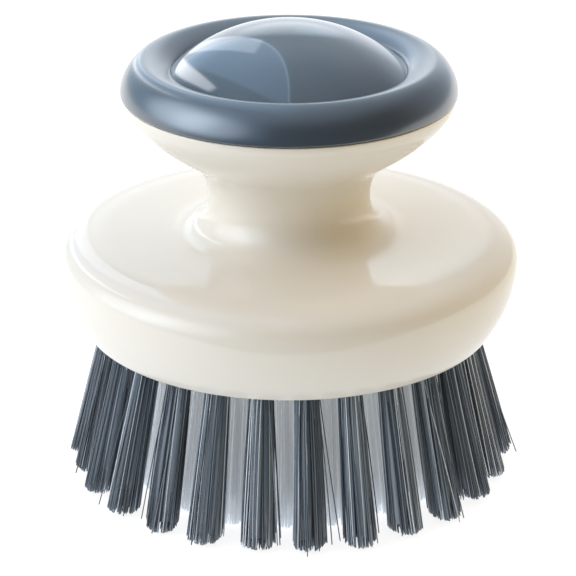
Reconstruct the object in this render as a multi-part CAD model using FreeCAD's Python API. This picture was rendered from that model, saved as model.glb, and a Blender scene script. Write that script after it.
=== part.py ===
import FreeCAD, Part
import math
import os

# Palm brush with a soap tank in its handle and a press button on top.
# Millimetres, +Z up along the turning axis. The cut bristle ends lie on Z = 0.

# Bristles: tufts folded over flat wire anchors in blind holes, set in rows that lean outwards
tuft_reach = 29.4            # height of the plate's face above the bristle ends
tuft_root_radius = 2.25
tuft_outer_end_radius = 3.0  # a tuft spreads towards its cut end
tuft_inner_end_radius = 2.8
tuft_strands = 8             # the filaments clump into strands, which show as ribs along a tuft
strand_depth_share = 0.22    # depth of the grooves between strands, of the tuft's radius
tuft_hole_depth = 5.5
tuft_clearance = 0.05
tuft_pitch = 7.85            # least spacing of the holes along a row
tuft_row_pitch = 7.0         # spacing of the rows
tuft_edge_margin = 1.25      # plate left outside the outer row of holes
tuft_outer_lean_deg = 13.0
tuft_lean_step_deg = 3.5     # each row further in stands more upright
tuft_turn_deg = 5.2          # turn of the whole pattern about the axis
stagger_share = 0.5          # every other row is turned back by this share of the outer row's step
separate_rows = 2            # rows whose tufts are handled one by one
anchor_thickness = 0.4
anchor_height = 1.4
anchor_bite = 0.4            # how far an anchor cuts into the hole's wall on each side
anchor_fold = 0.8            # bristle folded between the anchor and the hole's end

# Handle: a blown hollow spool, its outside from the rim up to the seam under the grip ring
base_radius = 42.5
side_taper = 4.2
side_height = 12.4
shoulder_run = 9.7
shoulder_rise = 5.0
neck_radius = 15.0
foot_run = 8.0
foot_rise = 7.0
throat_run = 4.4
throat_rise = 8.05
knob_run = 11.0
knob_rise = 11.4
knob_draft = 0.3
handle_wall = 2.2
rim_drop = 0.4               # the rim hangs this far below the plate's face
rim_wall = 2.0
lip_height = 4.0             # straight mouth that the bristle plate snaps through
side_turn_share = 0.5        # share of the side's height where its two tangents meet
knob_turn_share = 0.6        # share of the knob's rise where its two tangents meet

# Mouth of the tank: an upright collar with lugs, behind a flat land that carries the seam
land_width = 2.2
groove_width = 1.8
groove_depth = 3.0
collar_wall = 2.0
collar_height = 2.8
lug_count = 3
lug_span_deg = 50.0
collar_lug_reach = 1.1
collar_lug_height = 1.0

# Bristle plate: a plug with a snap bead, a seal groove round its edge and a valve seat in its face
plate_clearance = 0.15
plate_thickness = 8.0
bead_catch = 0.9
bead_height = 2.0
bead_gap = 0.15
seal_groove_rise = 1.2       # from the plate's face to the groove
seal_groove_height = 1.6
seal_groove_depth = 0.9
gasket_clearance = 0.05
outlet_radius = 3.2
recess_radius = 6.5
recess_depth = 2.4

# Cap: the lid of the tank, a cup that guides the button, with the grip ring welded over it
core_clearance = 0.2
core_wall = 1.6
core_floor = 1.8
core_flange_thickness = 0.9
core_flange_inset = 0.1
cap_gasket_thickness = 0.7
cap_gasket_gap = 0.1
guide_radius = 5.0
guide_drop = 6.0
guide_rise = 1.3
guide_clearance = 0.05

# Grip ring: a fat rounded ring whose crown slopes in to a lip round the button
ring_gap = 0.25
ring_overhang = 0.3
ring_height = 6.4
crown_run = 4.5              # from the ring's outer edge in to its crown
lip_drop = 2.0               # from the crown down to the lip
crown_fullness_share = 0.5   # 0 is a straight bevel, 0.7 a quarter of an ellipse
slope_fullness_share = 0.3
ring_skirt = 2.3             # wall of the ring at its lower edge
ring_skirt_height = 2.3
ring_lip_depth = 1.8
ring_lip_clearance = 0.1
ring_lug_clearance = 0.35    # between the ring's lugs and the collar
ring_lug_height = 1.0
ring_lug_rise = 0.2

# Button: a domed cap on a flange that the ring's lip holds down
press_travel = 3.5
button_clearance = 0.3
button_flange_width = 1.1
button_flange_thickness = 1.3
button_stop_gap = 0.3
button_floor_gap = 0.2
dome_gap = 0.3
dome_height = 8.1
dome_wall = 2.0
dome_boss_radius = 5.0
spring_seat_width = 2.4
spring_seat_drop = 1.2

# Stem, seal, valve plug and spring
stem_radius = 2.5
stem_socket_depth = 6.0
stem_fit = 0.02
rod_radius = 1.8
rod_step = 3.0               # the stem thins this far above the plate
rod_head_radius = 2.5
rod_head_height = 0.8
plug_radius = 4.8
plug_height = 2.3
plug_cover = 0.55            # plug left under the rod's head
plug_chamfer = 0.8
plug_gap = 0.05
seal_section_radius = 0.8
seal_clearance = 0.03
seal_gland_depth = 0.05      # spare room of the gland beyond the seal
seal_gland_side = 0.15
spring_wire_radius = 0.45
spring_mean_radius = 6.3
spring_turns = 6
spring_end_gap = 0.05

# One overrun serves all cuts
overrun = 1.0

# Heights and radii that follow from the sizes above
rim_z = tuft_reach - rim_drop
widest_z = rim_z + side_height
top_z = widest_z + shoulder_rise
waist_z = top_z + foot_rise
throat_z = waist_z + throat_rise
seam_z = throat_z + knob_rise
rim_radius = base_radius - side_taper
throat_radius = neck_radius + throat_run
seam_radius = throat_radius + knob_run
pocket_radius = rim_radius - rim_wall
lip_z = rim_z + lip_height
plate_radius = pocket_radius - plate_clearance
plate_top_z = tuft_reach + plate_thickness
seat_z = tuft_reach + recess_depth
collar_radius = seam_radius - land_width - groove_width
mouth_radius = collar_radius - collar_wall
collar_top_z = seam_z + collar_height
core_radius = mouth_radius - core_clearance
cup_radius = core_radius - core_wall
core_flange_z = collar_top_z + cap_gasket_gap + cap_gasket_thickness
core_top_z = core_flange_z + core_flange_thickness
ring_z = seam_z + ring_gap
ring_radius = seam_radius + ring_overhang
crown_z = ring_z + ring_height
crown_radius = ring_radius - crown_run
crease_z = crown_z - lip_drop
button_flange_radius = cup_radius - button_clearance
dome_radius = button_flange_radius - button_flange_width
hole_radius = dome_radius + dome_gap
ring_lip_z = core_top_z - ring_lip_depth
button_flange_top_z = ring_lip_z - button_stop_gap
button_flange_z = button_flange_top_z - button_flange_thickness
core_floor_top_z = button_flange_z - press_travel - button_floor_gap
core_floor_z = core_floor_top_z - core_floor
dome_top_z = crease_z + dome_height
spring_seat_z = dome_top_z - dome_wall - spring_seat_drop
stem_top_z = spring_seat_z
plug_top_z = seat_z - plug_gap
plug_z = plug_top_z - plug_height
tuft_outer_row_radius = plate_radius - tuft_edge_margin - tuft_root_radius - tuft_clearance
tuft_row_count = 1 + int((tuft_outer_row_radius - recess_radius - tuft_root_radius) / tuft_row_pitch)

ORIGIN = FreeCAD.Vector(0, 0, 0)
Y_AXIS = FreeCAD.Vector(0, 1, 0)
Z_AXIS = FreeCAD.Vector(0, 0, 1)


def at(radius, height):
    """A point of a section, in the plane that is turned about the axis."""
    return FreeCAD.Vector(radius, 0, height)


def line(start, end):
    return Part.LineSegment(start, end).toShape()


def bend(start, corner, end):
    """A curve that leaves start towards corner and reaches end from it."""
    curve = Part.BezierCurve()
    curve.setPoles([start, corner, end])
    return curve.toShape()


def flatter_bend(start, corner, end, fullness_share):
    """A bend drawn away from its corner, the more so the smaller the share."""
    curve = Part.BezierCurve()
    curve.setPoles([start, corner, end])
    curve.setWeight(2, fullness_share)
    return curve.toShape()


def polyline(points):
    return [line(a, b) for a, b in zip(points, points[1:])]


def turned(edges):
    """The solid that a closed section sweeps in a full turn."""
    solid = Part.Face(Part.Wire(edges)).revolve(ORIGIN, Z_AXIS, 360)
    return solid if solid.Volume > 0 else solid.reversed()


def turned_points(points):
    return turned(polyline(points + points[:1]))


def disc(radius, low, high):
    return Part.makeCylinder(radius, high - low, at(0, low))


def tube(inner, outer, low, high):
    return turned_points([at(inner, low), at(outer, low), at(outer, high), at(inner, high)])


def lug(inner, outer, low, high, middle_deg):
    """A stretch of a ring, lug_span_deg wide about middle_deg."""
    section = Part.Face(Part.Wire(polyline(
        [at(inner, low), at(outer, low), at(outer, high), at(inner, high), at(inner, low)])))
    piece = section.revolve(ORIGIN, Z_AXIS, lug_span_deg)
    piece.rotate(ORIGIN, Z_AXIS, middle_deg - lug_span_deg / 2)
    return piece


def lugs(inner, outer, low, high):
    return [lug(inner, outer, low, high, 360 * k / lug_count) for k in range(lug_count)]


# The handle's outline as tangent corners, with the places where a bend has its corner
HANDLE_BENDS = (1, 3, 6, 8, 10)


def handle_corners():
    knob_corner = at(seam_radius - knob_draft, throat_z + knob_rise * knob_turn_share)
    slope = (knob_corner.z - throat_z) / (knob_corner.x - throat_radius)
    return [
        at(rim_radius, rim_z),
        at(base_radius, rim_z + side_height * side_turn_share),
        at(base_radius, widest_z),
        at(base_radius, top_z),
        at(base_radius - shoulder_run, top_z),
        at(neck_radius + foot_run, top_z),
        at(neck_radius, top_z),
        at(neck_radius, waist_z),
        at(neck_radius, throat_z - throat_run * slope),
        at(throat_radius, throat_z),
        knob_corner,
        at(seam_radius, seam_z),
    ]


def moved_in(corners, wall):
    """The same corners one wall further in, each moved square to the lines that meet there."""
    legs = [(b - a).normalize() for a, b in zip(corners, corners[1:])]
    normals = [at(-leg.z, leg.x) for leg in legs]
    before = normals[:1] + normals
    after = normals + normals[-1:]
    return [p + (m + n) * (wall / (1 + m.dot(n))) for p, m, n in zip(corners, before, after)]


def outline_edges(corners):
    edges = []
    start = 0
    while start < len(corners) - 1:
        if start + 1 in HANDLE_BENDS:
            edges.append(bend(*corners[start:start + 3]))
            start += 2
        else:
            edges.append(line(*corners[start:start + 2]))
            start += 1
    return edges


def spool(corners):
    """The solid inside an outline, closed along the axis."""
    low = corners[0]
    high = corners[-1]
    closing = polyline([high, at(0, high.z), at(0, low.z), low])
    return turned(outline_edges(corners) + closing)


def handle_shell():
    corners = handle_corners()
    inside = moved_in(corners, handle_wall)
    tank = spool(inside)
    tank = tank.cut(disc(base_radius, rim_z - overrun, lip_z))
    tank = tank.cut(tube(mouth_radius, seam_radius + overrun, waist_z, seam_z + overrun))
    groove = tube(collar_radius, collar_radius + groove_width, seam_z - groove_depth, seam_z + overrun)
    mouth = disc(mouth_radius, seam_z - groove_depth, seam_z + overrun)
    pocket = disc(pocket_radius, rim_z - overrun, lip_z + handle_wall)
    shell = spool(corners).cut([tank, groove, mouth, pocket])
    collar = tube(mouth_radius, collar_radius, seam_z - groove_depth, collar_top_z)
    stops = lugs(collar_radius - collar_wall / 2, collar_radius + collar_lug_reach,
                 collar_top_z - collar_lug_height, collar_top_z)
    return shell.fuse([collar] + stops).removeSplitter()


def tuft_rows():
    """For each row from the outside in: its radius, its lean and the angles of its tufts."""
    rows = []
    outer_step = 360 / int(2 * math.pi * tuft_outer_row_radius / tuft_pitch)
    for k in range(tuft_row_count):
        radius = tuft_outer_row_radius - k * tuft_row_pitch
        lean = tuft_outer_lean_deg - k * tuft_lean_step_deg
        count = int(2 * math.pi * radius / tuft_pitch)
        first = tuft_turn_deg - 90 - (k % 2) * stagger_share * outer_step
        angles = [first + 360 * j / count for j in range(count)]
        rows.append((radius, lean, angles))
    return rows


def stand(shape, radius, lean):
    """Leans a piece outwards and sets it on the plate's face at a row's radius."""
    shape.rotate(ORIGIN, Y_AXIS, -lean)
    shape.translate(at(radius, tuft_reach))
    return shape


def round_the_row(shape, angles):
    copies = []
    for angle in angles:
        copy = shape.copy()
        copy.rotate(ORIGIN, Z_AXIS, angle)
        copies.append(copy)
    return copies


def anchor():
    width = 2 * (tuft_root_radius + tuft_clearance + anchor_bite)
    low = tuft_hole_depth - anchor_fold - anchor_height
    corner = FreeCAD.Vector(-anchor_thickness / 2, -width / 2, low)
    return Part.makeBox(anchor_thickness, width, anchor_height, corner)


def tuft_hole():
    return disc(tuft_root_radius + tuft_clearance, -overrun, tuft_hole_depth)


def strand_section(radius, height):
    """A section across a tuft: outward arcs, one for each strand, that meet in grooves."""
    groove = radius * (1 - strand_depth_share)
    half_step = math.pi / tuft_strands

    def place(reach, half_steps):
        turn = half_steps * half_step
        return FreeCAD.Vector(reach * math.cos(turn), reach * math.sin(turn), height)

    edges = []
    for k in range(tuft_strands):
        start, crest, end = place(groove, 2 * k), place(radius, 2 * k + 1), place(groove, 2 * k + 2)
        edges.append(Part.Arc(start, crest, end).toShape())
    return Part.Wire(edges)


def tuft(radius, lean, end_radius):
    """One tuft at its place in a row, cut off level with the ends of all the others."""
    length = tuft_reach / math.cos(math.radians(lean)) + end_radius
    root = disc(tuft_root_radius, 0, tuft_hole_depth - tuft_clearance)
    sections = [strand_section(end_radius, -length), strand_section(tuft_root_radius - tuft_clearance, 0)]
    spread = Part.makeLoft(sections, True, True)
    piece = root.fuse(spread).removeSplitter().cut(anchor())
    piece = stand(piece, radius, lean)
    return piece.cut(disc(base_radius + tuft_reach, -length, 0))


def bristle_plate():
    bead_z = lip_z + bead_gap
    groove_z = tuft_reach + seal_groove_rise
    plate = disc(plate_radius, tuft_reach, plate_top_z)
    plate = plate.fuse(disc(pocket_radius + bead_catch, bead_z, bead_z + bead_height))
    cuts = [
        tube(plate_radius - seal_groove_depth, pocket_radius + overrun,
             groove_z, groove_z + seal_groove_height),
        disc(outlet_radius, tuft_reach - overrun, plate_top_z + overrun),
        disc(recess_radius, tuft_reach - overrun, seat_z),
    ]
    plate = plate.cut(cuts).removeSplitter()
    for radius, lean, angles in tuft_rows():
        hole = stand(tuft_hole(), radius, lean)
        slot = stand(anchor(), radius, lean)
        plate = plate.cut(round_the_row(hole, angles) + round_the_row(slot, angles))
    return plate


def plate_gasket():
    low = tuft_reach + seal_groove_rise + gasket_clearance
    high = tuft_reach + seal_groove_rise + seal_groove_height - gasket_clearance
    inner = plate_radius - seal_groove_depth + gasket_clearance
    return tube(inner, pocket_radius - gasket_clearance, low, high)


def tuft_anchors():
    pieces = []
    for radius, lean, angles in tuft_rows():
        pieces += round_the_row(stand(anchor(), radius, lean), angles)
    return Part.Compound(pieces)


def grip_ring():
    skirt_radius = ring_radius - ring_skirt
    outer = at(ring_radius, ring_z)
    top = at(crown_radius, crown_z)
    crease = at(hole_radius, crease_z)
    inside = polyline([
        crease,
        at(hole_radius, ring_lip_z),
        at(cup_radius - ring_lip_clearance, ring_lip_z),
        at(cup_radius - ring_lip_clearance, core_top_z),
        at(collar_radius, core_top_z),
        at(skirt_radius, ring_z + ring_skirt_height),
        at(skirt_radius, ring_z),
        outer,
    ])
    crown = flatter_bend(outer, at(ring_radius, crown_z), top, crown_fullness_share)
    slope = flatter_bend(top, at(hole_radius, crown_z), crease, slope_fullness_share)
    ring = turned([crown, slope] + inside)
    low = ring_z + ring_lug_rise
    keys = lugs(collar_radius + ring_lug_clearance, skirt_radius + ring_skirt / 2,
                low, low + ring_lug_height)
    return ring.fuse(keys).removeSplitter()


def cap_core():
    guide_z = core_floor_z - guide_drop
    bore_radius = stem_radius + guide_clearance
    cup = turned_points([
        at(bore_radius, guide_z),
        at(guide_radius, guide_z),
        at(guide_radius, core_floor_z),
        at(core_radius, core_floor_z),
        at(core_radius, core_flange_z),
        at(collar_radius - core_flange_inset, core_flange_z),
        at(collar_radius - core_flange_inset, core_top_z),
        at(cup_radius, core_top_z),
        at(cup_radius, core_floor_top_z),
        at(guide_radius, core_floor_top_z),
        at(guide_radius, core_floor_top_z + guide_rise),
        at(bore_radius, core_floor_top_z + guide_rise),
    ])
    middle = core_floor_z - guide_drop / 2
    half = seal_section_radius + seal_gland_side
    gland_radius = stem_radius + seal_clearance + 2 * seal_section_radius + seal_gland_depth
    return cup.cut(disc(gland_radius, middle - half, middle + half))


def stem_seal():
    middle = core_floor_z - guide_drop / 2
    ring_middle = stem_radius + seal_clearance + seal_section_radius
    return Part.makeTorus(ring_middle, seal_section_radius, at(0, middle))


def cap_gasket():
    low = collar_top_z + cap_gasket_gap
    return tube(core_radius + core_clearance, collar_radius - core_flange_inset, low, core_flange_z)


def button_dome():
    sphere = (dome_radius ** 2 + dome_height ** 2) / (2 * dome_height)
    centre = at(0, dome_top_z - sphere)
    outside = Part.makeSphere(sphere, centre)
    inside = Part.makeSphere(sphere - dome_wall, centre)
    body = outside.common(disc(dome_radius, button_flange_z, dome_top_z + overrun))
    flange = disc(button_flange_radius, button_flange_z, button_flange_top_z)
    hollow = inside.common(disc(dome_radius - dome_wall, button_flange_z - overrun, dome_top_z))
    shell = body.fuse(flange).cut(hollow)
    boss_top = dome_top_z - dome_wall / 2
    boss = disc(dome_boss_radius, stem_top_z - stem_socket_depth, boss_top)
    seat = disc(dome_boss_radius + spring_seat_width, spring_seat_z, boss_top)
    filled = outside.common(boss.fuse(seat))
    socket = disc(stem_radius + stem_fit, button_flange_z - overrun, stem_top_z + stem_fit)
    return shell.fuse(filled).cut(socket).removeSplitter()


def push_stem():
    step_z = plate_top_z + rod_step
    head_z = plug_z + plug_cover
    return turned_points([
        at(0, head_z),
        at(rod_head_radius, head_z),
        at(rod_head_radius, head_z + rod_head_height),
        at(rod_radius, head_z + rod_head_height),
        at(rod_radius, step_z),
        at(stem_radius, step_z + stem_radius - rod_radius),
        at(stem_radius, stem_top_z),
        at(0, stem_top_z),
    ])


def valve_plug():
    head_z = plug_z + plug_cover
    return turned_points([
        at(0, plug_z),
        at(plug_radius - plug_chamfer, plug_z),
        at(plug_radius, plug_z + plug_chamfer),
        at(plug_radius, plug_top_z),
        at(rod_radius + stem_fit, plug_top_z),
        at(rod_radius + stem_fit, head_z + rod_head_height + stem_fit),
        at(rod_head_radius + stem_fit, head_z + rod_head_height + stem_fit),
        at(rod_head_radius + stem_fit, head_z - stem_fit),
        at(0, head_z - stem_fit),
    ])


def arc_between(start, corner, end):
    """The arc that touches both legs of an even corner."""
    middle = (start + end) * 0.5
    half = (end - start).Length / 2
    height = (corner - middle).Length
    rise = half * math.tan(math.atan2(height, half) / 2)
    return Part.Arc(start, middle + (corner - middle) * (rise / height), end).toShape()


def return_spring():
    """One unbroken wire: each quarter turn is two arcs that share their tangent."""
    low = core_floor_top_z + spring_wire_radius + spring_end_gap
    high = spring_seat_z - spring_wire_radius - spring_end_gap
    quarters = 4 * spring_turns
    climb = (high - low) / quarters
    slope = climb / (spring_mean_radius * math.pi / 2)

    def place(k):
        angle = math.pi / 2 * k
        point = FreeCAD.Vector(math.cos(angle), math.sin(angle), 0) * spring_mean_radius
        tangent = FreeCAD.Vector(-math.sin(angle), math.cos(angle), slope).normalize()
        return point + Z_AXIS * (low + climb * k), tangent

    edges = []
    for k in range(quarters):
        start, leave = place(k)
        end, reach = place(k + 1)
        chord = end - start
        both = leave + reach
        a = both.dot(both) - 4
        b = chord.dot(both)
        leg = (b - math.sqrt(b * b - a * chord.dot(chord))) / a
        first = start + leave * leg
        second = end - reach * leg
        joint = (first + second) * 0.5
        edges += [arc_between(start, first, joint), arc_between(joint, second, end)]
    start, leave = place(0)
    section = Part.Wire(Part.Circle(start, leave, spring_wire_radius).toShape())
    wire = Part.Wire(edges).makePipeShell([section], True, False)
    print("spring: gap between turns %.2f mm" % (4 * climb - 2 * spring_wire_radius))
    return wire


def all_pieces():
    pieces = {
        "handle_shell": handle_shell(),
        "bristle_plate": bristle_plate(),
        "plate_gasket": plate_gasket(),
        "tuft_anchors": tuft_anchors(),
        "grip_ring": grip_ring(),
        "cap_core": cap_core(),
        "cap_gasket": cap_gasket(),
        "stem_seal": stem_seal(),
        "return_spring": return_spring(),
        "button_dome": button_dome(),
        "push_stem": push_stem(),
        "valve_plug": valve_plug(),
    }
    inner = []
    for row, (radius, lean, angles) in enumerate(tuft_rows()):
        end_radius = tuft_outer_end_radius if row == 0 else tuft_inner_end_radius
        copies = round_the_row(tuft(radius, lean, end_radius), angles)
        if row < separate_rows:
            name = "outer_tuft" if row == 0 else "second_row_tuft"
            for number, piece in enumerate(copies, 1):
                pieces["%s_%02d" % (name, number)] = piece
        else:
            inner += copies
    pieces["inner_row_tufts"] = Part.Compound(inner)
    return pieces


os.makedirs("parts", exist_ok=True)
for name, shape in all_pieces().items():
    shape.exportStep("parts/%s.step" % name)
    print("%-20s %3d solids %9.1f mm3  valid %s" % (name, len(shape.Solids), shape.Volume, shape.isValid()))
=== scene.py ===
import math

import bpy
import numpy as np
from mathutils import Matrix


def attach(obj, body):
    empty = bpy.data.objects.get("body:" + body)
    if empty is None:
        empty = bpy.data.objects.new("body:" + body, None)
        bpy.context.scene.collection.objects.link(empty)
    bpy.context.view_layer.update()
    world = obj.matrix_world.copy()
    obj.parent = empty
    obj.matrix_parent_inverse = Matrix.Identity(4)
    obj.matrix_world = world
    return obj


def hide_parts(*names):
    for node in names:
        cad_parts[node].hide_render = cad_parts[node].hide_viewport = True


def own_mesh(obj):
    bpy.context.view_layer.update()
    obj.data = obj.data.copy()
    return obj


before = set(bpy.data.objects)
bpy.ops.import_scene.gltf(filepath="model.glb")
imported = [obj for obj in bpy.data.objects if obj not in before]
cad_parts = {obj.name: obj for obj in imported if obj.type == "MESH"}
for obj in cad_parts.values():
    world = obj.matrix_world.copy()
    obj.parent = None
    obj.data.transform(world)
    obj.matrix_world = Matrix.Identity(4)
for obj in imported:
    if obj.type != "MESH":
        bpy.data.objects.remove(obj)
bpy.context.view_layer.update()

# Handle: a hollow spool of cream polypropylene, blown in one piece and polished.
# Its wide base takes the bristle plate, its neck the fingers, and its knob the cap.
# A collar with three lugs stands inside the seam and holds the cap.
MM = 0.001
TURN_STEPS = 192
BEND_STEPS = 14
SAME_POINT = 1e-6
MERGE_WITHIN = 0.002
SMOOTH_BELOW_DEG = 32
LUG_COUNT = 3
LUG_SPAN_DEG = 50
LUG_WALL_WITHIN = 0.1
BASE_FOOT = 29.0
BASE_RADIUS = 42.5
SIDE_TAPER, SIDE_HEIGHT = 4.2, 12.4
SHOULDER_RUN, SHOULDER_RISE = 9.7, 5.0
NECK_RADIUS = 15.0
FOOT_RUN, FOOT_RISE = 8.0, 7.0
THROAT_RUN, THROAT_RISE, THROAT_CORNER_RISE = 4.4, 8.05, 5.24
KNOB_RUN, KNOB_RISE, KNOB_CORNER_RISE, KNOB_DRAFT = 11.0, 11.4, 6.84, 0.3
EDGE = 0.3
RIM_BORE, RIM_HEIGHT = 36.3, 4.0
RIM_ROUND, RIM_ROUND_OUT = 0.4, 0.25
HANDLE_WALL = 2.2
LAND_WIDTH = 2.2
GROOVE_WIDTH, GROOVE_DEPTH = 1.8, 3.0
COLLAR_WALL, COLLAR_HEIGHT = 2.0, 2.8
COLLAR_LUG_HEIGHT, COLLAR_LUG_REACH = 1.0, 1.1
BASE_TOP_LOOPS = (31.5, 28.0, 24.5)
BOWL_TOP, BOWL_CORNER, BOWL_FOOT = 67.4, (22.2, 65.9), (18.2, 63.3)
NECK_BORE_CORNER = 59.9
TANK_CORNER = 36.5
CREAM = (0.70, 0.65, 0.565)


def bend(start, corner, end, fullness=1.0):
    """Points (radius, height) of a bend that leaves start towards corner and reaches end from it."""
    points = []
    for step in range(BEND_STEPS + 1):
        t = step / BEND_STEPS
        pulls = ((1 - t) ** 2, 2 * fullness * t * (1 - t), t ** 2)
        points.append(tuple(sum(w * p[k] for w, p in zip(pulls, (start, corner, end))) / sum(pulls)
                            for k in (0, 1)))
    return points


def turned(name, outline):
    """Draws a closed outline of (radius, height) points in millimetres and spins it about the axis."""
    bpy.ops.object.select_all(action="DESELECT")
    bpy.ops.mesh.primitive_plane_add(size=MM, location=(0, 0, 0))
    piece = bpy.context.object
    piece.name = name
    piece.data.name = name
    bpy.ops.object.mode_set(mode="EDIT")
    bpy.ops.mesh.select_mode(type="VERT")
    bpy.ops.mesh.select_all(action="SELECT")
    bpy.ops.mesh.merge(type="CENTER")
    bpy.ops.transform.translate(value=(outline[0][0] * MM, 0, outline[0][1] * MM))
    for (r0, z0), (r1, z1) in zip(outline, outline[1:]):
        if abs(r1 - r0) + abs(z1 - z0) > SAME_POINT:
            bpy.ops.mesh.extrude_region_move(
                TRANSFORM_OT_translate={"value": ((r1 - r0) * MM, 0, (z1 - z0) * MM)})
    bpy.ops.mesh.select_all(action="SELECT")
    bpy.ops.mesh.spin(steps=TURN_STEPS, angle=2 * math.pi, center=(0, 0, 0), axis=(0, 0, 1))
    bpy.ops.mesh.select_all(action="SELECT")
    bpy.ops.mesh.remove_doubles(threshold=MERGE_WITHIN * MM)
    bpy.ops.mesh.normals_make_consistent(inside=False)
    bpy.ops.object.mode_set(mode="OBJECT")
    bpy.ops.object.shade_smooth_by_angle(angle=math.radians(SMOOTH_BELOW_DEG))
    return piece


def raise_lugs(piece, wall_radius, low, high, reach):
    """Pushes a wall out by reach, along its own normals, at each lug's place round the axis."""
    bpy.ops.object.select_all(action="DESELECT")
    piece.select_set(True)
    bpy.context.view_layer.objects.active = piece
    bpy.ops.object.mode_set(mode="EDIT")
    bpy.ops.mesh.select_mode(type="FACE")
    bpy.ops.mesh.select_all(action="DESELECT")
    bpy.ops.object.mode_set(mode="OBJECT")
    pitch = 360 / LUG_COUNT
    for face in piece.data.polygons:
        x, y, z = face.center / MM
        from_lug = (math.degrees(math.atan2(y, x)) + pitch / 2) % pitch - pitch / 2
        on_wall = abs(math.hypot(x, y) - wall_radius) < LUG_WALL_WITHIN
        face.select = on_wall and low < z < high and abs(from_lug) < LUG_SPAN_DEG / 2
    bpy.ops.object.mode_set(mode="EDIT")
    bpy.ops.mesh.extrude_region_shrink_fatten(TRANSFORM_OT_shrink_fatten={"value": reach * MM})
    bpy.ops.object.mode_set(mode="OBJECT")


rim_radius = BASE_RADIUS - SIDE_TAPER
rim_edge = (rim_radius + RIM_ROUND_OUT, BASE_FOOT + RIM_ROUND)
rim_top = BASE_FOOT + RIM_HEIGHT
side_top = BASE_FOOT + SIDE_HEIGHT
base_top = side_top + SHOULDER_RISE
shoulder_radius = BASE_RADIUS - SHOULDER_RUN
neck_foot_radius = NECK_RADIUS + FOOT_RUN
neck_height = base_top + FOOT_RISE
throat = (NECK_RADIUS + THROAT_RUN, neck_height + THROAT_RISE)
knob_radius = throat[0] + KNOB_RUN
knob_top = throat[1] + KNOB_RISE
land_radius = knob_radius - LAND_WIDTH
groove_foot = knob_top - GROOVE_DEPTH
collar_radius = land_radius - GROOVE_WIDTH
collar_bore = collar_radius - COLLAR_WALL
collar_top = knob_top + COLLAR_HEIGHT
collar_lug_foot = collar_top - COLLAR_LUG_HEIGHT
neck_bore = NECK_RADIUS - HANDLE_WALL
tank_radius = BASE_RADIUS - HANDLE_WALL
tank_top = base_top - HANDLE_WALL

handle_outside = (
    [(RIM_BORE, BASE_FOOT + EDGE), (RIM_BORE + EDGE, BASE_FOOT), (rim_radius - RIM_ROUND, BASE_FOOT)]
    + bend((rim_radius - RIM_ROUND, BASE_FOOT), (rim_radius, BASE_FOOT), rim_edge)
    + bend(rim_edge, (BASE_RADIUS, BASE_FOOT + SIDE_HEIGHT / 2), (BASE_RADIUS, side_top))
    + bend((BASE_RADIUS, side_top), (BASE_RADIUS, base_top), (shoulder_radius, base_top))
    + [(radius, base_top) for radius in BASE_TOP_LOOPS]
    + bend((neck_foot_radius, base_top), (NECK_RADIUS, base_top), (NECK_RADIUS, neck_height))
    + bend((NECK_RADIUS, neck_height), (NECK_RADIUS, neck_height + THROAT_CORNER_RISE), throat)
    + bend(throat, (knob_radius - KNOB_DRAFT, throat[1] + KNOB_CORNER_RISE), (knob_radius, knob_top - EDGE))
    + bend((knob_radius, knob_top - EDGE), (knob_radius, knob_top), (knob_radius - EDGE, knob_top)))
handle_collar = [
    (land_radius, knob_top), (land_radius, groove_foot), (collar_radius, groove_foot),
    (collar_radius, collar_lug_foot), (collar_radius, collar_top), (collar_bore, collar_top)]
handle_inside = (
    bend((collar_bore, BOWL_TOP), BOWL_CORNER, BOWL_FOOT)
    + bend(BOWL_FOOT, (neck_bore, NECK_BORE_CORNER), (neck_bore, neck_height))
    + bend((neck_bore, neck_height), (neck_bore, tank_top), (neck_foot_radius, tank_top))
    + bend((shoulder_radius, tank_top), (tank_radius, tank_top), (tank_radius, side_top))
    + bend((tank_radius, side_top), (tank_radius, TANK_CORNER), (rim_radius, rim_top))
    + [(RIM_BORE, rim_top), (RIM_BORE, BASE_FOOT + EDGE)])
handle = turned("spool_handle", handle_outside + handle_collar + handle_inside)
raise_lugs(handle, collar_radius, collar_lug_foot, collar_top, COLLAR_LUG_REACH)


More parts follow.
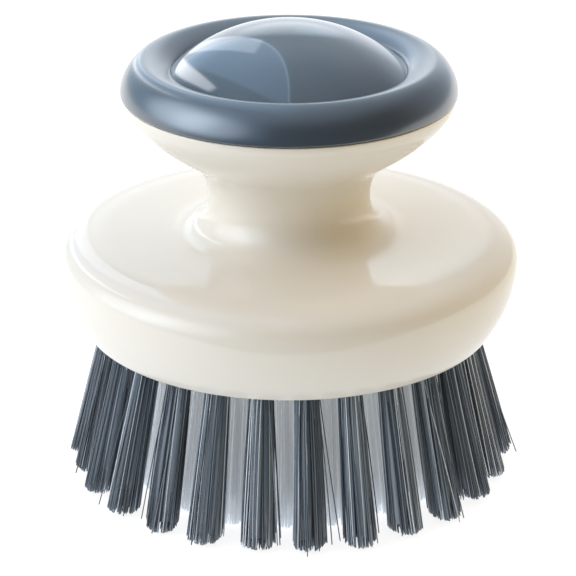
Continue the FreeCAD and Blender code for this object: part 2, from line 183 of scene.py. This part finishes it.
def moulded_skin():
    """Colour, roughness and height of a moulded surface: faint mottle and fine grain."""
    group = bpy.data.node_groups.new("moulded_skin", "ShaderNodeTree")
    for name, kind in (("Colour", "NodeSocketColor"), ("Mottle", "NodeSocketFloat"),
                       ("Roughness", "NodeSocketFloat"), ("Grain", "NodeSocketFloat")):
        group.interface.new_socket(name, in_out="INPUT", socket_type=kind)
    for name, kind in (("Colour", "NodeSocketColor"), ("Roughness", "NodeSocketFloat"),
                       ("Height", "NodeSocketFloat")):
        group.interface.new_socket(name, in_out="OUTPUT", socket_type=kind)
    nodes, links = group.nodes, group.links
    given = nodes.new("NodeGroupInput")
    result = nodes.new("NodeGroupOutput")
    place = nodes.new("ShaderNodeTexCoord")

    cloud = nodes.new("ShaderNodeTexNoise")
    cloud.inputs["Scale"].default_value = 55
    cloud.inputs["Detail"].default_value = 3
    links.new(place.outputs["Object"], cloud.inputs["Vector"])
    swing = nodes.new("ShaderNodeMapRange")
    swing.inputs["To Min"].default_value = -1
    swing.inputs["To Max"].default_value = 1
    swing.inputs["From Min"].default_value = 0.3
    swing.inputs["From Max"].default_value = 0.7
    links.new(cloud.outputs["Fac"], swing.inputs["Value"])
    lighten = nodes.new("ShaderNodeMath")
    lighten.operation = "MULTIPLY_ADD"
    lighten.inputs[2].default_value = 1
    links.new(swing.outputs["Result"], lighten.inputs[0])
    links.new(given.outputs["Mottle"], lighten.inputs[1])
    tint = nodes.new("ShaderNodeVectorMath")
    tint.operation = "SCALE"
    links.new(given.outputs["Colour"], tint.inputs[0])
    links.new(lighten.outputs["Value"], tint.inputs["Scale"])
    links.new(tint.outputs["Vector"], result.inputs["Colour"])

    fine = nodes.new("ShaderNodeTexNoise")
    fine.inputs["Scale"].default_value = 1500
    fine.inputs["Detail"].default_value = 2
    links.new(place.outputs["Object"], fine.inputs["Vector"])
    grain = nodes.new("ShaderNodeMath")
    grain.operation = "MULTIPLY"
    links.new(fine.outputs["Fac"], grain.inputs[0])
    links.new(given.outputs["Grain"], grain.inputs[1])
    links.new(grain.outputs["Value"], result.inputs["Height"])

    dull = nodes.new("ShaderNodeMath")
    dull.operation = "MULTIPLY_ADD"
    dull.inputs[1].default_value = 0.03
    links.new(swing.outputs["Result"], dull.inputs[0])
    links.new(given.outputs["Roughness"], dull.inputs[2])
    links.new(dull.outputs["Value"], result.inputs["Roughness"])
    return group


moulded_skin_group = moulded_skin()


def moulded_plastic(name, colour, mottle, roughness, grain):
    """A moulded plastic with the shared skin, in this colour."""
    material = bpy.data.materials.new(name)
    material.use_nodes = True
    nodes, links = material.node_tree.nodes, material.node_tree.links
    shader = nodes["Principled BSDF"]
    skin = nodes.new("ShaderNodeGroup")
    skin.node_tree = moulded_skin_group
    skin.inputs["Colour"].default_value = (*colour, 1)
    skin.inputs["Mottle"].default_value = mottle
    skin.inputs["Roughness"].default_value = roughness
    skin.inputs["Grain"].default_value = grain
    relief = nodes.new("ShaderNodeBump")
    relief.inputs["Strength"].default_value = 0.15
    relief.inputs["Distance"].default_value = 0.00002
    links.new(skin.outputs["Colour"], shader.inputs["Base Color"])
    links.new(skin.outputs["Roughness"], shader.inputs["Roughness"])
    links.new(skin.outputs["Height"], relief.inputs["Height"])
    links.new(relief.outputs["Normal"], shader.inputs["Normal"])
    return material


def paint(piece, material):
    """Gives a piece this material alone."""
    piece.data.materials.clear()
    piece.data.materials.append(material)


cream = moulded_plastic("cream_polypropylene", CREAM, mottle=0.012, roughness=0.05, grain=0.4)
paint(handle, cream)
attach(handle, "handle")
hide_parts("handle_shell")

# Bristle plate: a cream plug with blind holes, pressed into the base until its bead snaps in.
# It is the same polypropylene as the handle but straight from the mould, so a little duller.
plate_cream = moulded_plastic("plate_polypropylene", CREAM, mottle=0.02, roughness=0.34, grain=1.0)


def finish_node(node, material):
    """Gives its material to a piece that stays as the frame has it."""
    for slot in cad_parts[node].material_slots:
        slot.material = material


finish_node("bristle_plate", plate_cream)

# Seals: milky silicone rubber, moulded as rings, laid in their grooves.
# The plate's seal, the lid's seal, the stem's seal and the soft plug of the valve are of one compound.
silicone = moulded_plastic("milky_silicone", (0.60, 0.62, 0.60), mottle=0.03, roughness=0.42, grain=1.0)
for seal in ("plate_gasket", "cap_gasket", "stem_seal", "valve_plug"):
    finish_node(seal, silicone)

# Anchors: short flats of brass wire, driven across the holes to hold the folded tufts.
# They are cut from drawn wire, so their faces have fine lines along them.


def drawn_wire(name, colour, roughness):
    """Metal wire with fine drawing lines."""
    material = bpy.data.materials.new(name)
    material.use_nodes = True
    nodes, links = material.node_tree.nodes, material.node_tree.links
    shader = nodes["Principled BSDF"]
    shader.inputs["Metallic"].default_value = 1
    place = nodes.new("ShaderNodeTexCoord")
    stretch = nodes.new("ShaderNodeMapping")
    stretch.inputs["Scale"].default_value = (900, 900, 9000)
    links.new(place.outputs["Object"], stretch.inputs["Vector"])
    scratches = nodes.new("ShaderNodeTexNoise")
    scratches.inputs["Scale"].default_value = 1
    links.new(stretch.outputs["Vector"], scratches.inputs["Vector"])
    tone = nodes.new("ShaderNodeValToRGB")
    tone.color_ramp.elements[0].color = (*(0.7 * c for c in colour), 1)
    tone.color_ramp.elements[1].color = (*colour, 1)
    links.new(scratches.outputs["Fac"], tone.inputs["Fac"])
    links.new(tone.outputs["Color"], shader.inputs["Base Color"])
    dull = nodes.new("ShaderNodeMapRange")
    dull.inputs["To Min"].default_value = roughness - 0.08
    dull.inputs["To Max"].default_value = roughness + 0.08
    links.new(scratches.outputs["Fac"], dull.inputs["Value"])
    links.new(dull.outputs["Result"], shader.inputs["Roughness"])
    return material


finish_node("tuft_anchors", drawn_wire("anchor_brass", (0.56, 0.40, 0.16), roughness=0.34))

# Tufts: bundles of nylon filaments, folded over their anchors and trimmed level in one cut.
# The middle of each is packed into thick strands, with single filaments round them; filaments bow
# a little, cling to their neighbours and now and then stray, and the outer rows lean out more.
PLATE_FACE = 29.4
HOLE_FILL = 2.12
ROOT_DEPTH = 1.0
RINGS = (0.0, 0.22, 0.44, 0.64, 0.82, 0.993)
PACKED_COUNT, PACKED_OUT, PACKED_BULK, PACKED_SHORTER = 6, 0.5, 0.40, 2
SINGLE_TURN, SINGLE_CROWDING = 2.39996, 0.38
KNOT_COUNT, KNOT_REACH = 11, 0.8
TUFT_SWAY, CUT_TILT = 0.25, 0.3
TURN_JITTER = 0.25
END_CLING, END_JITTER = 0.25, 0.08
STRAY_SHARE, STRAY_REACH = 0.04, 1.2
BOW_CLING, BOW_JITTER = 0.15, 0.12
TIP_GAP, TIP_ROUNDING, TIP_JITTER = 0.1, 1.1, 0.28
END_TAPER = 0.35
WIDTH_JITTER = 0.1
# Filaments near a tuft's edge that take the light end of the tones are painted highlight streaks.
GLINT_OUT, GLINT_SHARE, GLINT_SHADE = 0.8, 0.16, 0.9
OUTER_ROW = {"row_radius": 32.6, "lean_deg": 13.0, "end_spread": 3.4, "count": 210, "thickness": 0.22}
SECOND_ROW = {"row_radius": 25.6, "lean_deg": 9.5, "end_spread": 3.1, "count": 130, "thickness": 0.24}
THIRD_ROW = {"row_radius": 18.6, "lean_deg": 6.0, "end_spread": 2.9, "count": 60, "thickness": 0.30}
FOURTH_ROW = {"row_radius": 11.6, "lean_deg": 2.5, "end_spread": 2.9, "count": 60, "thickness": 0.30}
OUTER_COUNT, SECOND_COUNT, THIRD_COUNT, FOURTH_COUNT = 26, 20, 14, 9
OUTER_TURN = 5.2 - 90
STAGGERED_TURN = OUTER_TURN - 180 / OUTER_COUNT


def filament_shape():
    """One straight filament along Z, from 0 to 1, with radius 1 and a rounded end."""
    bpy.ops.object.select_all(action="DESELECT")
    bpy.ops.mesh.primitive_circle_add(vertices=5, radius=1, fill_type="NOTHING", location=(0, 0, 0))
    strand = bpy.context.object
    bpy.ops.object.mode_set(mode="EDIT")
    bpy.ops.mesh.select_mode(type="VERT")
    bpy.ops.mesh.select_all(action="SELECT")
    for low, high in zip(RINGS, RINGS[1:]):
        bpy.ops.mesh.extrude_region_move(TRANSFORM_OT_translate={"value": (0, 0, high - low)})
    bpy.ops.mesh.extrude_region_move(TRANSFORM_OT_translate={"value": (0, 0, 1 - RINGS[-1])})
    bpy.ops.mesh.merge(type="CENTER")
    bpy.ops.mesh.select_all(action="SELECT")
    bpy.ops.mesh.normals_make_consistent(inside=False)
    bpy.ops.object.mode_set(mode="OBJECT")
    points = np.array([v.co for v in strand.data.vertices])
    faces = [tuple(p.vertices) for p in strand.data.polygons]
    bpy.data.objects.remove(strand)
    return points, faces


FILAMENT_POINTS, FILAMENT_FACES = filament_shape()


def tuft_points(angle_deg, draw, row_radius, lean_deg, end_spread, count, thickness):
    """Vertices of one tuft in millimetres, with each filament's shade; the light shades near the edge are
    painted highlights.
    """
    root = PLATE_FACE + ROOT_DEPTH
    along = FILAMENT_POINTS[:, 2]
    lean = math.tan(math.radians(lean_deg))
    knots = draw.uniform(-1, 1, (KNOT_COUNT, 2)) * KNOT_REACH
    tuft_sway = draw.normal(0, TUFT_SWAY, 2)
    cut_tilt = draw.normal(0, CUT_TILT, 2)
    packed = [(0, 0, PACKED_BULK)] + [
        (PACKED_OUT, 2 * math.pi * k / PACKED_COUNT, PACKED_BULK) for k in range(PACKED_COUNT)]
    single = [(((k + 0.5) / count) ** SINGLE_CROWDING, k * SINGLE_TURN, 0) for k in range(count)]
    cloud = []
    shades = []
    for out, turn, bulk in packed + single:
        turn += draw.uniform(-TURN_JITTER, TURN_JITTER)
        seat = np.array([out * math.cos(turn), out * math.sin(turn)])
        knot = knots[np.argmin(((knots - seat) ** 2).sum(axis=1))]
        end = end_spread * (seat + END_CLING * (knot - seat)) + tuft_sway + draw.normal(0, END_JITTER, 2)
        if not bulk and draw.random() < STRAY_SHARE:
            end = end + draw.normal(0, STRAY_REACH, 2)
        bow = draw.normal(0, BOW_JITTER, 2) + BOW_CLING * (knot - seat)
        cut = max(0, TIP_ROUNDING * out ** 3 + cut_tilt @ seat)
        tip = TIP_GAP + cut + abs(draw.normal(0, TIP_JITTER))
        if bulk:
            tip += PACKED_SHORTER
        height = root - along * (root - tip)
        share = np.clip((root - height) / root, 0, 1)
        side = (HOLE_FILL * seat * (1 - share)[:, None] + end * share[:, None]
                + bow * (4 * share * (1 - share))[:, None])
        bulge = (HOLE_FILL * (1 - share) + end_spread * share) * (1 - END_TAPER * share ** 4)
        width = thickness / 2 * draw.uniform(1 - WIDTH_JITTER, 1 + WIDTH_JITTER) + bulk * bulge
        x = row_radius + (PLATE_FACE - height) * lean + side[:, 0] + FILAMENT_POINTS[:, 0] * width
        y = side[:, 1] + FILAMENT_POINTS[:, 1] * width
        cloud.append(np.stack([x, y, height], axis=1))
        # Some filaments near the tuft's edge take the light end of the tones: painted highlight streaks.
        clear = out > GLINT_OUT and draw.random() < GLINT_SHARE
        shade = draw.uniform(GLINT_SHADE, 1) if clear else draw.uniform(0, GLINT_SHADE)
        shades.append(np.full(len(along), shade))
    points = np.concatenate(cloud)
    turn = math.radians(angle_deg)
    x = points[:, 0] * math.cos(turn) - points[:, 1] * math.sin(turn)
    y = points[:, 0] * math.sin(turn) + points[:, 1] * math.cos(turn)
    return np.stack([x, y, points[:, 2]], axis=1), np.concatenate(shades)


def bristles(name, points, shades):
    """One object from the filaments' vertices, each filament a copy of the shape made above."""
    each = len(FILAMENT_POINTS)
    faces = [tuple(v + start for v in face)
             for start in range(0, len(points), each) for face in FILAMENT_FACES]
    mesh = bpy.data.meshes.new(name)
    mesh.from_pydata((points * MM).tolist(), [], faces)
    shade = mesh.attributes.new("shade", "FLOAT", "POINT")
    shade.data.foreach_set("value", shades)
    mesh.shade_smooth()
    piece = bpy.data.objects.new(name, mesh)
    bpy.context.collection.objects.link(piece)
    return piece


def nylon(name, tones, roughness):
    """Nylon filaments, each of its own shade, with the tones given as (place, colour)."""
    material = bpy.data.materials.new(name)
    material.use_nodes = True
    nodes, links = material.node_tree.nodes, material.node_tree.links
    shader = nodes["Principled BSDF"]
    shade = nodes.new("ShaderNodeAttribute")
    shade.attribute_name = "shade"
    tone = nodes.new("ShaderNodeValToRGB")
    stops = tone.color_ramp.elements
    while len(stops) < len(tones):
        stops.new(0.5)
    for stop, (place, colour) in zip(stops, tones):
        stop.position = place
        stop.color = (*colour, 1)
    links.new(shade.outputs["Fac"], tone.inputs["Fac"])
    links.new(tone.outputs["Color"], shader.inputs["Base Color"])
    dull = nodes.new("ShaderNodeMapRange")
    dull.inputs["To Min"].default_value = roughness - 0.08
    dull.inputs["To Max"].default_value = roughness + 0.08
    links.new(shade.outputs["Fac"], dull.inputs["Value"])
    links.new(dull.outputs["Result"], shader.inputs["Roughness"])
    return material


# The slate tones from 0.9 up are near white: painted highlights on the filaments at the tufts' edges.
slate_nylon = nylon("slate_nylon", [(0.0, (0.024, 0.032, 0.040)), (0.88, (0.175, 0.210, 0.245)),
                                    (0.90, (0.38, 0.42, 0.45)), (1.0, (0.72, 0.76, 0.79))],
                    roughness=0.34)
gloss = slate_nylon.node_tree.nodes["Principled BSDF"].inputs
gloss["IOR"].default_value = 1.65
milky_nylon_painted_glow = nylon("milky_nylon_painted_glow", [(0.0, (0.66, 0.69, 0.71)), (1.0, (0.92, 0.94, 0.95))],
                    roughness=0.32)
# The milky nylon glows faintly: painted light that brightens the pale tufts where they sit in the slate
# tufts' shade.
tuft_glow = milky_nylon_painted_glow.node_tree.nodes["Principled BSDF"].inputs
tuft_glow["Emission Color"].default_value = (0.96, 0.98, 1.0, 1)
tuft_glow["Emission Strength"].default_value = 0.13

draw = np.random.default_rng(41)
for k in range(OUTER_COUNT):
    tuft = bristles("outer_tuft_bristles_%02d" % (k + 1),
                    *tuft_points(OUTER_TURN + 360 * k / OUTER_COUNT, draw, **OUTER_ROW))
    paint(tuft, slate_nylon)
    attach(tuft, "handle")
    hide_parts("outer_tuft_%02d" % (k + 1))
for k in range(SECOND_COUNT):
    tuft = bristles("second_row_bristles_%02d" % (k + 1),
                    *tuft_points(STAGGERED_TURN + 360 * k / SECOND_COUNT, draw, **SECOND_ROW))
    paint(tuft, milky_nylon_painted_glow)
    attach(tuft, "handle")
    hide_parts("second_row_tuft_%02d" % (k + 1))
inner = [tuft_points(turn + 360 * k / count, draw, **row)
         for row, turn, count in ((THIRD_ROW, OUTER_TURN, THIRD_COUNT),
                                  (FOURTH_ROW, STAGGERED_TURN, FOURTH_COUNT))
         for k in range(count)]
inner_rows = bristles("inner_row_bristles", np.concatenate([p for p, s in inner]),
                      np.concatenate([s for p, s in inner]))
paint(inner_rows, milky_nylon_painted_glow)
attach(inner_rows, "handle")
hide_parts("inner_row_tufts")

# Lid and stem: white acetal, injection moulded; the lid closes the tank and guides the button.
# The stem is pressed into the button and runs down to the valve in the bristle plate.
acetal = moulded_plastic("white_acetal", (0.76, 0.76, 0.73), mottle=0.012, roughness=0.30, grain=0.8)
finish_node("cap_core", acetal)
finish_node("push_stem", acetal)

# Spring: stainless wire, wound to six turns, that pushes the button up against the ring's lip.
# It stands on the lid; in the brush it gets shorter by as much as the button goes down, but here it keeps
# its rest length, on a mesh of its own.
finish_node("return_spring", drawn_wire("spring_wire", (0.55, 0.55, 0.56), roughness=0.26))
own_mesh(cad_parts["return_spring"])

# Grip ring: a fat ring of slate ABS with a soft gloss, welded over the lid.
# Its crown slopes in to a fine lip round the button, and three lugs inside catch under the collar's.
RING_GAP, RING_OVERHANG, RING_HEIGHT = 0.25, 0.3, 6.4
RING_EDGE_IN = 0.25
SKIRT_BORE, SKIRT_TOP = 28.4, 75.4
RING_LUG_FOOT, RING_LUG_TOP, RING_LUG_REACH = 73.3, 74.3, 1.65
CROWN_RADIUS, OUTSIDE_FULLNESS = 26.2, 0.5
SLOPE_CORNER, SLOPE_FULLNESS = 22.7, 0.40
LIP_RADIUS, LIP_EDGE, LIP_LOOP, LIP_FOOT, LIP_BACK = 21.5, 77.28, 77.0, 75.55, 22.5
ROOF_RADIUS, ROOF_HEIGHT = 26.4, 77.35
SLATE = (0.046, 0.062, 0.082)


def lacquered_slate(name, roughness, grain, lacquer_ior, lacquer_roughness):
    """The slate ABS under a clear lacquer."""
    material = moulded_plastic(name, SLATE, 0.02, roughness, grain)
    lacquer = material.node_tree.nodes["Principled BSDF"].inputs
    lacquer["Coat Weight"].default_value = 1
    lacquer["Coat IOR"].default_value = lacquer_ior
    lacquer["Coat Roughness"].default_value = lacquer_roughness
    return material


ring_radius = knob_radius + RING_OVERHANG
ring_foot = knob_top + RING_GAP
ring_top = ring_foot + RING_HEIGHT
ring_edge = (ring_radius, ring_foot + EDGE)
crown = (CROWN_RADIUS, ring_top)
ring_outline = (
    [(SKIRT_BORE, SKIRT_TOP), (SKIRT_BORE, RING_LUG_TOP), (SKIRT_BORE, RING_LUG_FOOT)]
    + [(SKIRT_BORE, ring_foot), (ring_radius - RING_EDGE_IN, ring_foot)]
    + bend((ring_radius - RING_EDGE_IN, ring_foot), (ring_radius, ring_foot), ring_edge)
    + bend(ring_edge, (ring_radius, ring_top), crown, OUTSIDE_FULLNESS)
    + bend(crown, (SLOPE_CORNER, ring_top), (LIP_RADIUS, LIP_EDGE), SLOPE_FULLNESS)
    + [(LIP_RADIUS, LIP_LOOP), (LIP_RADIUS, LIP_FOOT), (LIP_BACK, LIP_FOOT)]
    + [(LIP_BACK, ROOF_HEIGHT), (ROOF_RADIUS, ROOF_HEIGHT), (SKIRT_BORE, SKIRT_TOP)])
ring = turned("slate_grip_ring", ring_outline)
raise_lugs(ring, SKIRT_BORE, RING_LUG_FOOT, RING_LUG_TOP, RING_LUG_REACH)
paint(ring, lacquered_slate("slate_abs", roughness=0.22, grain=0.4, lacquer_ior=1.8, lacquer_roughness=0.29))
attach(ring, "cap")
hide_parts("grip_ring")

# Button: a shallow dome of the same slate ABS, polished, on a flange that the ring's lip holds down.
# Under it are a seat for the spring and a socket for the stem.
DOME_SPHERE, DOME_TOP, DOME_WALL = 31.79, 85.6, 2.0
DOME_STEPS, INSIDE_STEPS = 30, 12
DOME_EDGE, EDGE_ROLL, EDGE_FOOT = 21.46, 0.03, 77.22
STEP_TOP, STEP_FOOT = 76.8, 76.4
BUTTON_RADIUS = 21.2
FLANGE_RADIUS, FLANGE_TOP, FLANGE_FOOT, FLANGE_BORE = 22.3, 75.25, 73.95, 19.2
SPRING_SEAT_RADIUS, SPRING_SEAT_HEIGHT = 7.4, 82.4
BOSS_RADIUS, BOSS_FOOT, SOCKET_RADIUS = 5.0, 76.4, 2.52


def on_dome(radius, wall=0.0):
    """A point of the dome, or of its inside where it has a wall."""
    return radius, DOME_TOP - DOME_SPHERE + math.sqrt((DOME_SPHERE - wall) ** 2 - radius ** 2)


roll_radius = DOME_EDGE - EDGE_ROLL
inside_run = FLANGE_BORE - SPRING_SEAT_RADIUS
dome_outline = (
    [on_dome(roll_radius * k / DOME_STEPS) for k in range(DOME_STEPS + 1)]
    + bend(on_dome(roll_radius), on_dome(DOME_EDGE), (DOME_EDGE, EDGE_FOOT))
    + [(DOME_EDGE, STEP_TOP), (BUTTON_RADIUS, STEP_FOOT), (BUTTON_RADIUS, FLANGE_TOP)]
    + [(FLANGE_RADIUS, FLANGE_TOP), (FLANGE_RADIUS, FLANGE_FOOT), (FLANGE_BORE, FLANGE_FOOT)]
    + [on_dome(FLANGE_BORE - inside_run * k / INSIDE_STEPS, DOME_WALL) for k in range(INSIDE_STEPS + 1)]
    + [(SPRING_SEAT_RADIUS, SPRING_SEAT_HEIGHT), (BOSS_RADIUS, SPRING_SEAT_HEIGHT)]
    + [(BOSS_RADIUS, BOSS_FOOT), (SOCKET_RADIUS, BOSS_FOOT)]
    + [(SOCKET_RADIUS, SPRING_SEAT_HEIGHT), (0.0, SPRING_SEAT_HEIGHT)])
dome = turned("slate_button", dome_outline)
slate_polished = lacquered_slate(
    "polished_slate_abs", roughness=0.10, grain=0.3, lacquer_ior=1.7, lacquer_roughness=0.03)
paint(dome, slate_polished)
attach(dome, "button")
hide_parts("button_dome")

# Studio: a white table that glows a little, a white backdrop, and soft panels and flats round the brush.
# The panels are part of the world, each cut out by the planes of its edges; those that polished
# surfaces mirror and those that light the surfaces are set apart.
TABLE_SIDE, TABLE_FRONT = 3, -0.10
bpy.ops.object.select_all(action="DESELECT")
bpy.ops.mesh.primitive_plane_add(size=TABLE_SIDE, location=(0, TABLE_FRONT + TABLE_SIDE / 2, 0))
table = bpy.context.object
bpy.ops.object.transform_apply(location=True, rotation=True, scale=True)
table.name = "white_table"
white = bpy.data.materials.new("white_table")
white.use_nodes = True
nodes, links = white.node_tree.nodes, white.node_tree.links
shader = nodes["Principled BSDF"]
shader.inputs["Base Color"].default_value = (0.9, 0.9, 0.9, 1)
shader.inputs["Roughness"].default_value = 0.9
glow = nodes.new("ShaderNodeEmission")
glow.inputs["Strength"].default_value = 1.22
rays = nodes.new("ShaderNodeLightPath")
shown = nodes.new("ShaderNodeMath")
shown.use_clamp = True
links.new(rays.outputs["Is Camera Ray"], shown.inputs[0])
links.new(rays.outputs["Is Glossy Ray"], shown.inputs[1])
tint = nodes.new("ShaderNodeMix")
tint.data_type = "RGBA"
tint.inputs[6].default_value = (0.89, 1.0, 1.15, 1)
tint.inputs[7].default_value = (1, 1, 1, 1)
links.new(shown.outputs["Value"], tint.inputs[0])
links.new(tint.outputs[2], glow.inputs["Color"])
lit = nodes.new("ShaderNodeMixShader")
lit.inputs["Fac"].default_value = 0.72
links.new(shader.outputs["BSDF"], lit.inputs[1])
links.new(glow.outputs["Emission"], lit.inputs[2])
links.new(lit.outputs["Shader"], nodes["Material Output"].inputs["Surface"])
paint(table, white)

world = bpy.data.worlds.new("studio")
bpy.context.scene.world = world
world.use_nodes = True
nodes, links = world.node_tree.nodes, world.node_tree.links
nodes.clear()
direction = nodes.new("ShaderNodeTexCoord").outputs["Generated"]


def inside_edge(normal, offset, softness):
    """1 on the side of a panel's edge that its plane's normal points to, 0 on the other."""
    side = nodes.new("ShaderNodeVectorMath")
    side.operation = "DOT_PRODUCT"
    side.inputs[1].default_value = normal
    links.new(direction, side.inputs[0])
    edge = nodes.new("ShaderNodeMapRange")
    edge.interpolation_type = "SMOOTHSTEP"
    edge.inputs["From Min"].default_value = offset - softness
    edge.inputs["From Max"].default_value = offset + softness
    links.new(side.outputs["Value"], edge.inputs["Value"])
    return edge.outputs["Result"]


def panel(edges, colour):
    """The light of one panel: its colour where a direction lies inside all its edges.

    An edge is its plane's normal and offset, and how soft it is.
    """
    cover = inside_edge(*edges[0])
    for edge in edges[1:]:
        both = nodes.new("ShaderNodeMath")
        both.operation = "MULTIPLY"
        links.new(cover, both.inputs[0])
        links.new(inside_edge(*edge), both.inputs[1])
        cover = both.outputs["Value"]
    shine = nodes.new("ShaderNodeVectorMath")
    shine.operation = "SCALE"
    shine.inputs[0].default_value = colour
    links.new(cover, shine.inputs["Scale"])
    return shine.outputs["Vector"]


def facing(azimuth, elevation):
    """Unit vector to a place in the studio: azimuth from straight behind, to the right; degrees."""
    a, e = math.radians(azimuth), math.radians(elevation)
    return math.sin(a) * math.cos(e), math.cos(a) * math.cos(e), math.sin(e)


FLAT_TOP = ((-0.671, -0.716, -0.191), -0.568, 0.008)
FLAT_RIGHT = ((-0.931, -0.023, 0.365), 0.359, 0.006)
FLAT_FOOT = ((0.555, 0.583, 0.594), 0.405, 0.010)
PATCH = (facing(0, 22), 0.976, 0.014)
UP, DOWN, FRONT, BACK, RIGHT = (0, 0, 1), (0, 0, -1), (0, -1, 0), (0, 1, 0), (1, 0, 0)

wall = panel([(facing(-35, 0), 0.175, 0.775)], (0.32, 0.49, 0.62))
wall_core = panel([(facing(-5, 22), 0.78, 0.20)], (0.25, 0.23, 0.22))
wall_foot = panel([(facing(0, 2), 0.92, 0.07)], (0.47, 0.41, 0.40))
wall_patch = panel([PATCH], (0.47, 0.53, 0.56))
wall_patch_top = panel([PATCH, (UP, 0.376, 0.002), (RIGHT, 0.03, 0.02)], (0.06, 0.13, 0.20))
overhead = panel([(UP, 0.75, 0.25)], (0.49, 0.59, 0.71))
key_back = panel([(facing(-97, 20), 0.90, 0.08)], (1.90, 2.22, 2.56))
key_front = panel([(facing(-122, 18), 0.90, 0.08)], (1.66, 1.90, 2.21))
key_top = panel([(facing(-105, 38), 0.93, 0.06)], (0.29, 0.37, 0.47))
front_flat = panel([((-0.992, 0.125, 0.003), 0.141, 0.012), (facing(-150, 25), 0.80, 0.15)],
                   (0.10, 0.22, 0.36))
bluish_flat = panel([FLAT_TOP, FLAT_RIGHT, FLAT_FOOT], (0.18, 0.34, 0.58))
bluish_flat_top = panel(
    [FLAT_TOP, ((0.470, 0.796, 0.383), 0.650, 0.010), ((-0.898, 0.440, -0.008), 0.464, 0.02)],
    (0.75, 0.80, 0.85))
bluish_flat_edge = panel(
    [FLAT_RIGHT, ((0.931, 0.023, -0.365), -0.376, 0.006), (UP, 0.55, 0.05)], (0.45, 0.60, 0.65))
white_strip = panel(
    [((-0.737, -0.338, -0.586), -0.118, 0.012), ((0.535, 0.490, 0.688), 0.300, 0.012), (BACK, 0.30, 0.05)],
    (2.10, 2.15, 2.25))
right_wall = panel([(facing(50, 15), 0.80, 0.18)], (0.27, 0.28, 0.34))
mirrored_panels = [
    wall, wall_core, wall_foot, wall_patch, wall_patch_top, overhead, key_back, key_front, key_top,
    front_flat, bluish_flat, bluish_flat_top, bluish_flat_edge, white_strip, right_wall]

spread_overhead = panel([(UP, 0.60, 0.40)], (0.16, 0.24, 0.40))
spread_key = panel([(facing(-105, 22), 0.85, 0.14)], (3.50, 3.62, 3.80))
spread_right = panel([(facing(90, 15), 0.50, 0.50)], (0.86, 0.60, 0.18))
spread_back = panel([(facing(0, 20), 0.50, 0.50)], (1.40, 1.44, 1.50))
floor_before_table = panel([(DOWN, 0.05, 0.05), (FRONT, 0.2, 0.2)], (1.00, 1.08, 1.12))
spread_panels = [spread_overhead, spread_key, spread_right, spread_back, floor_before_table]


def studio_light(panels):
    """A background that shines with the sum of these panels."""
    total = panels[0]
    for light in panels[1:]:
        both = nodes.new("ShaderNodeVectorMath")
        both.operation = "ADD"
        links.new(total, both.inputs[0])
        links.new(light, both.inputs[1])
        total = both.outputs["Vector"]
    light = nodes.new("ShaderNodeBackground")
    links.new(total, light.inputs["Color"])
    return light.outputs["Background"]


backdrop = nodes.new("ShaderNodeBackground")
backdrop.inputs["Color"].default_value = (1, 1, 1, 1)
seen = nodes.new("ShaderNodeLightPath")
mirrored_or_spread = nodes.new("ShaderNodeMixShader")
links.new(seen.outputs["Is Diffuse Ray"], mirrored_or_spread.inputs["Fac"])
links.new(studio_light(mirrored_panels), mirrored_or_spread.inputs[1])
links.new(studio_light(spread_panels), mirrored_or_spread.inputs[2])
backdrop_or_studio = nodes.new("ShaderNodeMixShader")
links.new(seen.outputs["Is Camera Ray"], backdrop_or_studio.inputs["Fac"])
links.new(mirrored_or_spread.outputs["Shader"], backdrop_or_studio.inputs[1])
links.new(backdrop.outputs["Background"], backdrop_or_studio.inputs[2])
world.cycles.sampling_method = "NONE"
world_output = nodes.new("ShaderNodeOutputWorld")
links.new(backdrop_or_studio.outputs["Shader"], world_output.inputs["Surface"])

# Camera: a long lens a little above the brush, level from side to side.
# Its place, tilt and lens are those that a fit to the brush's outline gave.
CAMERA_PLACE = (-0.00022, -0.430, 0.21728)
CAMERA_DOWN_DEG = 23.071
CAMERA_LENS = 155.47
bpy.ops.object.camera_add(location=CAMERA_PLACE, rotation=(math.radians(90 - CAMERA_DOWN_DEG), 0, 0))
camera = bpy.context.object
camera.data.sensor_width = 36
camera.data.lens = CAMERA_LENS
camera.data.clip_start = 0.01
bpy.context.scene.camera = camera
bpy.context.scene.view_settings.view_transform = "Standard"
